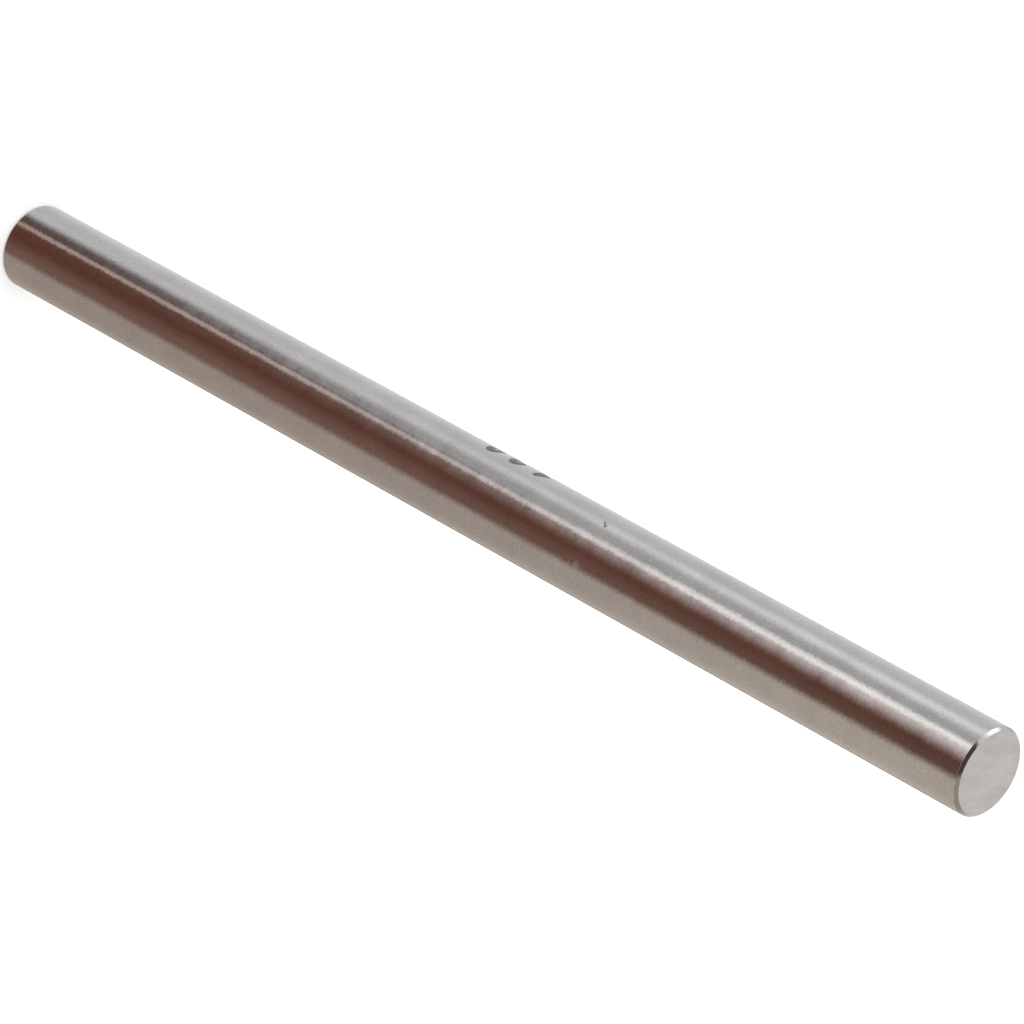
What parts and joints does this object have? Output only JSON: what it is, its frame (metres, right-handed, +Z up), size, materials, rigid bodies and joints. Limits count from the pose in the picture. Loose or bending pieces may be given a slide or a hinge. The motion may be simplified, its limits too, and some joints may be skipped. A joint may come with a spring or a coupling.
{
  "type": "plug gauge",
  "caption": "Slender plain cylindrical gauge pin in ground steel, with flat end faces, small edge breaks and etched size figures on its side.",
  "frame": {"origin": "centre of the lower end face, which the pin stands on", "axes": "+Z up along the pin's own axis, towards the other end face; +X and +Y are free, because the pin is round, and the size figures face -X by choice"},
  "size_m": [0.0034, 0.0034, 0.0508],
  "materials": {
    "gauge_steel": "fine ground and lapped, bare"
  },
  "bodies": {
    "root": {"gauge_pin": "gauge_steel"}
  },
  "joints": []
}
